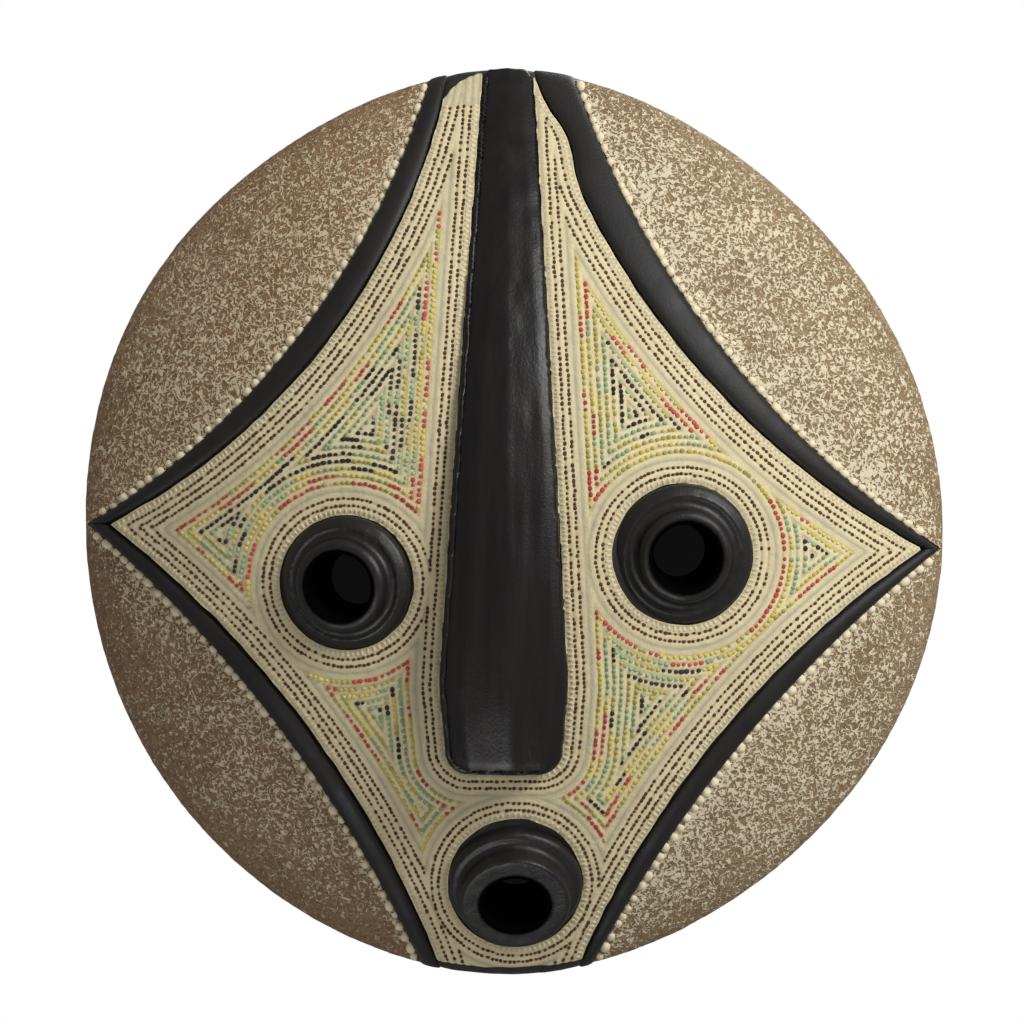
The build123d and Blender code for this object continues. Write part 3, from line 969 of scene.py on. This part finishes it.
def lay_border(name):
    """One black border between its two bowed edges."""
    inner, outer = inner_edges[name], outer_edges[name]
    upper = name.startswith("upper")
    side = name.split("_")[1]

    def half(points):
        """Above 0 in this border's own quarter of the face."""
        own = points[:, 1] - tip_height[side]
        return (own if upper else -own) + 0.01 * MM

    def inside(points):
        gaps = [-inner.distance(points), outer.distance(points), half(points)]
        gaps.append(rim_gap(points) - 0.3 * MM)
        reach = points[:, 0] if side == "right" else -points[:, 0]
        gaps.append(reach)
        return np.min(gaps, axis=0) - 0.2 * MM * waver(points, 9 * MM, 12)

    def height(points):
        within = np.clip(-inner.distance(points), 0, None)
        beyond = np.clip(outer.distance(points), 0, None)
        width = within + beyond + 1e-9
        rise = 1 - np.exp(-beyond / (0.9 * MM))
        lip = 1 - 0.3 * np.exp(-within / (0.9 * MM))
        bow = 0.88 + 0.12 * np.sin(pi * np.clip(beyond / width, 0, 1))
        tall = border_thickness * rise * lip * bow
        tall = tall * (1 - 0.8 * np.exp(-np.clip(rim_gap(points), 0, None) / (3.5 * MM)))
        return tall + 0.13 * MM * waver(points, 11 * MM, 14)

    low = (-half_width if side == "left" else 0, 0 if upper else -half_height)
    high = (0 if side == "left" else half_width, half_height if upper else 0)
    box = ((low[0] - 1 * MM, low[1] - 12 * MM), (high[0] + 1 * MM, high[1]))
    foot = dome_radius - 0.3 * MM
    ridge = f"border_{name}_ridge"
    piece = lay_skin(ridge, inside, border_step, box, height, dome_radius, foot, border_black, {})
    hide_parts(f"border_{name}")


for name in border_ends:
    lay_border(name)

# %% [markdown]
# **The corner crusts** are slow pillows with a lumpy skin. Where the cream is rich, and
# where it thins out, is painted into the mesh: richer beside the borders and in loose
# patches, and nearly bare brown along the rim.

# %% The corner crusts
crust_step = 0.75 * MM
# most cream at the upper right and least at the lower left: partly the dry brush, partly painted shade away
# from the lamp
crust_cream = {"upper_left": 0.56, "upper_right": 0.66, "lower_left": 0.50, "lower_right": 0.62}


def lay_crust(name, seed):
    """One corner field with its relief and its cream."""
    edge = outer_edges[name]
    upper = name.startswith("upper")
    side = name.split("_")[1]

    def inside(points):
        own = points[:, 1] - tip_height[side]
        reach = points[:, 0] if side == "right" else -points[:, 0]
        gaps = [-edge.distance(points) - 0.1 * MM, own if upper else -own, reach, rim_gap(points) - 0.6 * MM]
        return np.min(gaps, axis=0)

    def rich(points):
        from_border = -edge.distance(points)
        from_rim = rim_gap(points)
        patch = waver(points, 26 * MM, seed + 6) + 0.6 * waver(points, 9 * MM, seed + 5)
        amount = crust_cream[name] + 0.13 * patch + 0.30 * np.exp(-from_border / (4 * MM))
        bare = np.exp(-np.clip(from_rim, 0, None) / (7 * MM))
        return np.clip(amount * (1 - 0.45 * bare), 0, 1)

    def height(points):
        rim_round = 1 - np.exp(-np.clip(rim_gap(points), 0, None) / (2.5 * MM))
        pillow = 1.1 * MM * np.sin(pi * np.clip(-edge.distance(points) / (70 * MM), 0, 1)) * rim_round
        rough = 0.20 * MM * waver(points, 1.9 * MM, seed + 7) + 0.25 * MM * waver(points, 7 * MM, seed + 8)
        return crust_thickness * rim_round + pillow + rough

    low = (-half_width if side == "left" else 0, 0 if upper else -half_height)
    high = (0 if side == "left" else half_width, half_height if upper else 0)
    box = ((low[0], low[1] - 11 * MM), (high[0], high[1]))
    finish = crust_finishes[name]
    foot = dome_radius - 0.3 * MM
    piece = lay_skin(
        f"corner_{name}_crust", inside, crust_step, box, height, dome_radius, foot, finish, {"rich": rich}
    )
    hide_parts(f"corner_{name}")


for number, name in enumerate(border_ends):
    lay_crust(name, 40 + 20 * number)

# %% [markdown]
# ## Carved pieces
# The shell, nose and tubes start from their solids. Each is copied, its skin is remade
# as an even net fine enough to bend, and that net gets the unevenness of knife and
# gouge. The print says how far that moved it; the new net also rounds sharp edges a
# little. The solid itself isn't touched.

# %% Carve a copy of a solid


def even_copy(node, voxel, name):
    """Points and faces of a solid's skin, remade as an even net."""
    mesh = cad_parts[node].data.copy()
    weld = bmesh.new()
    weld.from_mesh(mesh)
    bmesh.ops.remove_doubles(weld, verts=weld.verts, dist=1e-6)
    weld.to_mesh(mesh)
    weld.free()
    holder = bpy.data.objects.new(name + "_net", mesh)
    bpy.context.scene.collection.objects.link(holder)
    remesh = holder.modifiers.new("even", "REMESH")
    remesh.mode = "VOXEL"
    remesh.voxel_size = voxel
    smooth = holder.modifiers.new("smooth", "SMOOTH")
    smooth.factor = 0.5
    smooth.iterations = 3
    shown = holder.evaluated_get(bpy.context.evaluated_depsgraph_get())
    made = bpy.data.meshes.new_from_object(shown)
    points = np.empty(len(made.vertices) * 3)
    made.vertices.foreach_get("co", points)
    ways = np.empty(len(made.vertices) * 3)
    made.vertices.foreach_get("normal", ways)
    faces = [list(face.vertices) for face in made.polygons]
    bpy.data.objects.remove(holder)
    return points.reshape(-1, 3), ways.reshape(-1, 3), faces


def carve(node, voxel, name, finish, cuts, marks=None):
    """A carved piece: the solid's skin pushed in and out by cuts(points, normals)."""
    points, ways, faces = even_copy(node, voxel, name)
    shift = cuts(points, ways)
    moved = points + ways * shift[:, None]
    piece = build(name, moved, faces, finish, {key: make(moved) for key, make in (marks or {}).items()})
    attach(piece, "mask")
    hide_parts(node)
    print(name, "faces", len(faces), "moved up to", round(np.abs(shift).max() / MM, 2), "mm")


print("ready: even_copy, carve")

# %% [markdown]
# **The nose** was shaved with long strokes, so it has shallow flats along its length and
# one worn crest.

# %% The nose


def nose_cuts(points, ways):
    """A broad flat along the left side, a narrow one on the right, and knife waver."""
    x, z = points[:, 0], points[:, 2]
    heights = (nose_foot, nose_widest, half_height)
    left = np.interp(z, heights, nose_outline[[2, 1, 0], 0])
    right = np.interp(z, heights, nose_outline[[3, 4, 5], 0])
    front = np.clip(-ways[:, 1] / 0.4, 0, 1)
    broad = np.clip((left + 8.5 * MM - x) / (8.5 * MM), 0, 1) * 2.4 * MM
    narrow = np.clip((x - right + 4.0 * MM) / (4.0 * MM), 0, 1) * 0.7 * MM
    bottom = np.clip((-88.0 * MM - z) / (4.0 * MM), 0, 1) * 1.2 * MM
    streaks = 0.20 * MM * waver(points * np.array([1.0, 1.0, 0.08]), 3.2 * MM, 21)
    slow = 0.25 * MM * waver(points, 17 * MM, 22)
    return streaks + slow - front * (broad + narrow + bottom) - 0.05 * MM


carve("nose_ridge", 1.0 * MM, "nose_bar", nose_black, nose_cuts)

# %% [markdown]
# **The tubes** look turned but were finished with a knife, so their steps waver.

# %% The eyes and the mouth


def tube_cuts(points, ways):
    """Knife marks round the steps."""
    return 0.20 * MM * waver(points, 9 * MM, 31) + 0.07 * MM * waver(points, 2.6 * MM, 32)


# inside this reach the wall of the hole is painted darker, as painted shade, and made matt
bore_reach = 14.6 * MM  # inside this distance from the axis the paint is matt
bore_fade = 1.0 * MM


def bore_shade_and_matt(middle, axis):
    """For one tube: 1 on the wall of its hole, where the paint is dead matt and painted darker as painted
    shade.
    """
    axis = np.array(axis) / np.linalg.norm(axis)
    seat = lift(np.array([middle]), panel_radius)[0]

    def depth(points):
        away = points - seat
        along = away @ axis
        aside = np.linalg.norm(away - along[:, None] * axis, axis=1)
        return np.clip((bore_reach - aside) / bore_fade, 0, 1)

    return depth


# node, name of the piece, middle of the seat, direction in which the tube points
tube_seats = (
    ("left_eye_tube", "left_eye_ring", (-61.4 * MM, -22.0 * MM), (-0.275, -0.950, -0.147)),
    ("right_eye_tube", "right_eye_ring", (61.9 * MM, -11.6 * MM), (0.089, -0.988, -0.129)),
    ("mouth_tube", "mouth_ring", (0.4 * MM, -135.1 * MM), (0.0, -0.843, -0.538)),
)
for node, name, middle, axis in tube_seats:
    marks = {"deep": bore_shade_and_matt(middle, axis)}
    carve(node, 0.62 * MM, name, tube_black, tube_cuts, marks)

# %% [markdown]
# **The shell** shows behind and at the rim. Inside, a bent gouge left overlapping
# scoops with sharp ridges between them: each point sinks by its distance from the
# nearest of many scoop centres.

# %% Gouge scoops
scoop_pitch = 13.0 * MM
scoop_depth = 1.5 * MM
cavity_radius = dome_radius - 11.0 * MM


def scoop_centres():
    """Uneven rows of gouge strokes over the hollow."""
    spots = []
    columns = np.arange(-half_width, half_width, scoop_pitch * 0.72)
    rows = np.arange(-half_height, half_height, scoop_pitch * 1.6)
    for number, x in enumerate(columns):
        for z in rows:
            spots.append((x, z + (number % 2) * scoop_pitch * 0.8))
    spots = np.array(spots)
    shift = np.stack([waver(spots, 5 * MM, 51), waver(spots, 5 * MM, 52)], 1)
    return spots + shift * scoop_pitch * 0.3


def shell_cuts(points, ways):
    """Gouge scoops in the hollow, a slight waver elsewhere."""
    flat = points[:, [0, 2]]
    spots = scoop_centres() * np.array([1.0, 0.5])
    squeezed = flat * np.array([1.0, 0.5])
    nearest = np.empty(len(flat))
    for start in range(0, len(flat), 4000):
        gap = squeezed[start : start + 4000, None, :] - spots[None]
        nearest[start : start + 4000] = (gap**2).sum(2).min(1)
    scoop = -scoop_depth * (1 - np.clip(np.sqrt(nearest) / (0.45 * scoop_pitch), 0, 1) ** 2)
    from_ball = np.abs(np.linalg.norm(points - dome_middle, axis=1) - cavity_radius)
    hollow = (from_ball < 1.2 * MM) & (ways[:, 1] > 0.2)
    slow = 0.12 * MM * waver(points, 12 * MM, 53)
    side = np.abs(ways[:, 1]) < 0.4
    rough_side = slow + 0.1 * MM * waver(points, 3 * MM, 54)
    return np.where(hollow, scoop + 0.3 * MM, np.where(side, rough_side, 0))


print("gouge scoops:", len(scoop_centres()))

# %% [markdown]
# The black of the borders was carried round the edge of the face. The paint lies only on
# the outside, so the hollow stays bare wood.

# %% The shell


def shell_black(points):
    """1 where the rim and the panel's bare edge are painted black."""
    flat = points[:, [0, 2]]
    within = np.min([edge.distance(flat) for edge in outer_edges.values()], axis=0)
    within = within + 0.6 * MM * waver(points, 6 * MM, 55)
    front = -points[:, 1] - 2.5 * MM + 1.2 * MM * waver(points, 8 * MM, 56)
    outside = np.linalg.norm(points - dome_middle, axis=1) - (dome_radius - 5.0 * MM)
    return np.clip(np.minimum(np.minimum(within, front), outside) / (0.6 * MM) + 0.5, 0, 1)


shell_marks = {"black": shell_black}
carve("mask_shell", 2.1 * MM, "carved_shell", shell_wood, shell_cuts, shell_marks)

# %% [markdown]
# ## Rows of dots
# The painter sets dots with a stick, row after row, following the black edges. So a row
# is a line a given distance from an edge, walked in small uneven steps. A dot belongs to
# the edge it is nearest to, and is left out where it would touch one already there.

# %% The painter's rules
dot_gap = 1.36 * MM


def edge_number(points):
    """Which black edge each point is nearest to."""
    return np.argmin([edge.distance(points) for edge in face_edges], axis=0)


def row_colours(number, rows, seed):
    """The colour of each dot along one row: runs of a few dots from the row's choice."""
    if rows <= 0:
        return ["brown"] * number
    choice = {
        1: ("red", "red", "yellow", "olive", "yellow"),
        2: ("yellow", "olive", "green", "red", "yellow"),
        3: ("green", "green", "yellow", "black", "olive"),
    }.get(rows, ("green", "black", "green", "black", "olive"))
    draw = np.random.default_rng(seed)
    colours = []
    while len(colours) < number:
        colours += [choice[draw.integers(len(choice))]] * int(draw.integers(2, 6))
    return colours[:number]


def walk(edge, offset, pitch, draw):
    """Spots and directions along the line this far from an edge, in uneven steps."""
    line = edge.shifted(offset)
    gap = np.linalg.norm(np.diff(line, axis=0), axis=1)
    run = np.concatenate([[0], np.cumsum(gap)])
    count = int(run[-1] / pitch)
    steps = np.cumsum(pitch * (1 + 0.14 * draw.standard_normal(count)))
    steps = steps[steps < run[-1]]
    spots = np.stack([np.interp(steps, run, line[:, 0]), np.interp(steps, run, line[:, 1])], 1)
    ahead = np.minimum(steps + 0.5 * MM, run[-1])
    later = np.stack([np.interp(ahead, run, line[:, 0]), np.interp(ahead, run, line[:, 1])], 1)
    way = later - spots
    return spots, np.arctan2(way[:, 1], way[:, 0])


print("colours of a short row:", row_colours(6, 1, 0))

# %% [markdown]
# Two rows can meet at a corner. A table of small squares remembers every dot, so only
# the squares round a new dot have to be searched, not all the thousands.

# %% No dot on another


class Table:
    """Remembers where dots are, so that none is set on top of another."""

    def __init__(self, gap):
        self.gap = gap
        self.cells = {}

    def free(self, x, z):
        i, j = int(x // self.gap), int(z // self.gap)
        for a in (i - 1, i, i + 1):
            for b in (j - 1, j, j + 1):
                for u, v in self.cells.get((a, b), ()):
                    if (u - x) ** 2 + (v - z) ** 2 < self.gap**2:
                        return False
        self.cells.setdefault((i, j), []).append((x, z))
        return True


table = Table(dot_gap)
print("smallest gap between dots, mm:", dot_gap / MM)

# %% [markdown]
# Rows are set ring by ring, from the black edges inwards: first brown ones, then a gap
# for the soft grey stroke, then coloured ones until the field is full.

# %% Rows of dots
dots = {colour: [] for colour in dot_colours}  # each: x, z, half length, half width, turn
draw = np.random.default_rng(7)


def set_row(edge, number, rows, offset, pitch, size, margin=1.1 * MM):
    """One row of dots along an edge, and how many were set; rows counts from the stroke."""
    spots, turns = walk(edge, offset, pitch, draw)
    near = edge_number(spots) == number
    room = face_gap(spots) > margin
    patch = (spots[:, 0] < -8 * MM) & (spots[:, 1] > plain_patch_foot)
    bare = near & room & ~patch & (np.abs(edge_distance(spots) - offset) < 0.5 * MM)
    set_down = 0
    colours = row_colours(len(spots), rows, 100 * number + rows)
    for spot, turn, colour, keep in zip(spots, turns, colours, bare):
        if not keep:
            continue
        x, z = spot + 0.11 * MM * draw.standard_normal(2)
        if table.free(x, z):
            half = size * draw.uniform(0.82, 1.15)
            dots[colour].append((x, z, half * draw.uniform(1.05, 1.4), half, turn))
            set_down += 1
    return set_down


total = 0
for ring in range(16):
    for number, edge in enumerate(face_edges):
        brown_rows = 3 if edge.name in inner_edges else 2
        after = ring - brown_rows
        offset = first_row + ring * row_step + (0.5 * MM if after >= 0 else 0)
        if after == 0:
            continue  # the soft grey stroke runs here
        brown = after < 0
        pitch = (1.82 if brown else 2.15) * MM
        size = (0.66 if brown else 0.82) * MM
        total += set_row(edge, number, after, offset, pitch, size)
print("dots set down:", total)

# %% [markdown]
# A short cream tick stands across the line between each edge and its first row, so the
# edge of the chalk looks stitched.

# %% Ticks along the edges
ticks = 0
for number, edge in enumerate(face_edges):
    spots, turns = walk(edge, 1.65 * MM, 1.95 * MM, draw)
    keep = (edge_number(spots) == number) & (face_gap(spots) > 0.9 * MM)
    keep &= ~((spots[:, 0] < -8 * MM) & (spots[:, 1] > plain_patch_foot))
    for (x, z), turn in zip(spots[keep], turns[keep]):
        length = 1.15 * MM * draw.uniform(0.8, 1.2)
        width = 0.62 * MM * draw.uniform(0.8, 1.15)
        dots["tick"].append((x, z, length, width, turn + pi / 2 + 0.12 * draw.standard_normal()))
        ticks += 1
print("ticks:", ticks)

# %% [markdown]
# Each dot is a low dome with a soft shoulder: thick paint that sagged a little before it
# dried. All dots of one colour make one piece.

# %% Dots as paint


def paint_drops(name, drops, finish, radius, tall, sides=8, height=None):
    """Low domes on the ball of this radius, one for each drop."""
    drops = np.array(drops)
    turn = np.linspace(0, 2 * pi, sides, endpoint=False)
    rings = ((1.0, -0.25), (0.82, 0.62), (0.42, 0.93))
    flat = []
    rise = []
    for share, up in rings:
        flat.append(np.stack([share * np.cos(turn), share * np.sin(turn)], 1))
        rise.append(np.full(sides, up))
    flat = np.vstack(flat + [np.zeros((1, 2))])
    rise = np.append(np.concatenate(rise), 1.0)
    per = len(flat)
    cosine, sine = np.cos(drops[:, 4])[:, None], np.sin(drops[:, 4])[:, None]
    u, v = flat[:, 0] * drops[:, 2:3], flat[:, 1] * drops[:, 3:4]
    x = (drops[:, 0:1] + u * cosine - v * sine).ravel()
    z = (drops[:, 1:2] + u * sine + v * cosine).ravel()
    spots = np.stack([x, z], 1)
    lumpy = 1 + 0.18 * waver(spots, 1.6 * MM, 71)
    under = height(spots) if height else 0
    base = lift(spots, radius)
    high = (tall * drops[:, 3:4] * rise).ravel() * lumpy + under
    points = base + outward(base) * high[:, None]
    pattern = []
    for ring in range(len(rings) - 1):
        for side in range(sides):
            a, b = ring * sides + side, ring * sides + (side + 1) % sides
            pattern.append([a, a + sides, b + sides, b])
    top = (len(rings) - 1) * sides
    for side in range(sides):
        pattern.append([top + side, per - 1, top + (side + 1) % sides])
    faces = []
    for start in range(0, per * len(drops), per):
        faces += [[index + start for index in face] for face in pattern]
    piece = build(name, points, faces, finish)
    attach(piece, "mask")
    print(name, len(drops), "drops")
    return piece


for colour, drops in dots.items():
    if drops:
        tall = 0.4 if colour == "tick" else 0.62
        finish = dot_colours[colour]
        piece = paint_drops(f"{colour}_dots", drops, finish, ground_radius, tall, 8, ground_height)

# %% [markdown]
# **The bead rows** follow the outer edge of each black border: thick cream drops, nearly
# touching. No two are the same size. At the upper right a second, loose line of dabs
# runs outside the first.

# %% Bead rows
bead_size = 1.85 * MM
bead_step = 4.6 * MM
bead_out = 0.9 * MM

for name, edge in outer_edges.items():
    spots, turns = walk(edge, -bead_out, bead_step, np.random.default_rng(len(name) * 7))
    upper = name.startswith("upper")
    side = name.split("_")[1]
    own = spots[:, 1] - tip_height[side]
    reach = spots[:, 0] if side == "right" else -spots[:, 0]
    keep = (rim_gap(spots) > 2.2 * MM) & ((own if upper else -own) > 4.0 * MM) & (reach > 0)
    beads = []
    for (x, z), turn in zip(spots[keep], turns[keep]):
        half = bead_size * draw.uniform(0.78, 1.12)
        x, z = np.array([x, z]) + 0.22 * MM * draw.standard_normal(2)
        beads.append((x, z, half * draw.uniform(1.0, 1.25), half, turn))
    if name == "upper_right":
        loose, turns = walk(edge, -bead_out - 3.2 * MM, 3.0 * MM, draw)
        keep = (rim_gap(loose) > 6 * MM) & (waver(loose, 14 * MM, 90) + loose[:, 1] / 0.16 > 0.55)
        shifts = 0.5 * MM * draw.standard_normal((keep.sum(), 2))
        for (x, z), turn in zip(loose[keep] + shifts, turns[keep]):
            half = 1.15 * MM * draw.uniform(0.6, 1.2)
            beads.append((x, z, half * draw.uniform(1.2, 2.0), half, turn + 0.5 * draw.standard_normal()))
    piece = paint_drops(f"beads_{name}", beads, dot_colours["cream"], dome_radius, 0.95, 16)
    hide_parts(f"bead_row_{name}")

# %% [markdown]
# ## Small parts
# The pegs and the steel hanger are already right as solids, so they only get a finish.

# %% Pegs and hanger
for node, finish, slot in (
    ("nose_pegs", peg_wood, "peg_wood"),
    ("hanger_strap", steel, "hanger_steel"),
    ("hanger_screw", steel, "hanger_steel"),
    ("hanger_ring", steel, "hanger_steel"),
):
    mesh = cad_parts[node].data
    mesh.materials.clear()
    mesh.materials.append(finish)
    print(node, "is", finish.name)

# %% [markdown]
# ## Floor and card
# A pale floor lies below. It glows a little, so it doesn't turn grey against the white
# surround, and it is hidden from the light that the mask receives.

# %% Floor
floor_finish, floor_surface = open_finish("pale_floor", 0.9)
floor_tone = speckle(floor_finish, place_of(floor_finish), 6, 3, 0.5)
floor_colour = blend_colour(floor_finish, floor_tone, (0.86, 0.86, 0.85), (0.90, 0.90, 0.89))
floor_finish.node_tree.links.new(floor_colour, floor_surface.inputs["Base Color"])
turn = np.linspace(0, 2 * pi, 96, endpoint=False)
disc = np.stack([4.3 * np.cos(turn), 4.3 * np.sin(turn), np.full(96, -0.75)], 1)
floor_surface.inputs["Emission Color"].default_value = (1, 1, 0.99, 1)
floor_surface.inputs["Emission Strength"].default_value = 0.55
floor = build("floor", disc, [list(range(96))], floor_finish)
floor.visible_diffuse = False
floor.visible_glossy = False
print("floor is", round(np.ptp(disc[:, 0]), 1), "m across")

# %% [markdown]
# The holes go right through, so the white surround would show in them. A dark card
# stands three metres behind as painted shade, smaller than the mask looks from the front,
# and the holes look as dark as they do against a wall. It is part of the setting, not of the mask.

# %% Dark card as painted shade
# painted shade: a dark card behind the holes stands in for the shade of a wall
card_finish, card_surface = open_finish("painted_shade_card", 0.95, 0.1)
card_tone = speckle(card_finish, place_of(card_finish), 9, 3, 0.5)
card_colour = blend_colour(card_finish, card_tone, (0.004, 0.004, 0.004), (0.006, 0.006, 0.006))
card_finish.node_tree.links.new(card_colour, card_surface.inputs["Base Color"])
card_outline = ((-0.09, -0.48), (0.09, -0.48), (0.26, -0.30), (0.26, 0.06), (-0.26, 0.06), (-0.26, -0.30))
card_points = np.array([(x, 3.0, z) for x, z in card_outline])
card = build("card", card_points, [list(range(6))], card_finish)
print("card corners:", len(card_points))
